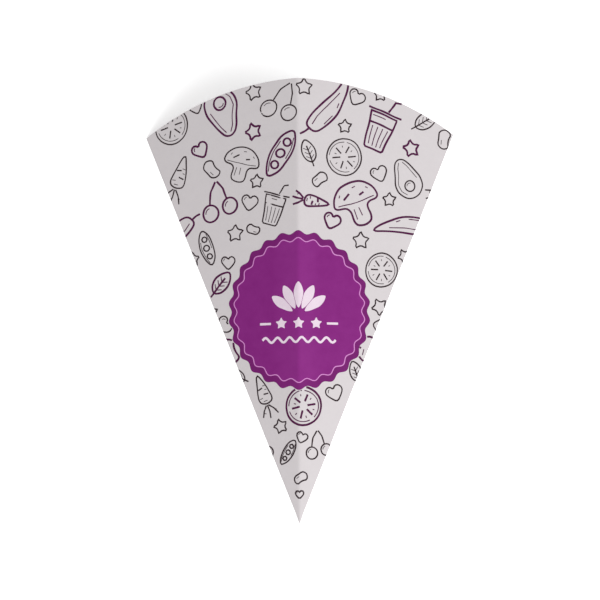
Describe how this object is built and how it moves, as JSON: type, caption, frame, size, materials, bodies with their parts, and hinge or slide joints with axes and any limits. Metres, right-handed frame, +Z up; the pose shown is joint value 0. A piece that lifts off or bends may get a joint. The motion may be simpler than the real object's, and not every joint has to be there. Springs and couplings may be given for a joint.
{
  "type": "paper fry cone",
  "caption": "Folded paper cone for serving fries, with flat panels, a curved mouth, a pointed tip, a purple scalloped seal and a scattered outline pattern.",
  "frame": {"origin": "centre of the bounding box's base, on the surface that the cone lies on", "axes": "+Y along the front crease from the tip to the mouth as seen from above, +Z up, +X to the right seen from above with the mouth up"},
  "size_m": [0.1834, 0.2708, 0.0608],
  "materials": {
    "printed_paper": "smooth uncoated white board",
    "seal_ink": "flat purple print on paper",
    "mark_ink": "paper left white in the print",
    "bold_ink": "dark purple printed line",
    "fine_ink": "near-black plum printed line"
  },
  "bodies": {
    "root": {"cone": "printed_paper", "seal": "seal_ink", "seal_marks": "mark_ink", "pattern_bold": "bold_ink", "pattern_fine": "fine_ink"}
  },
  "joints": []
}
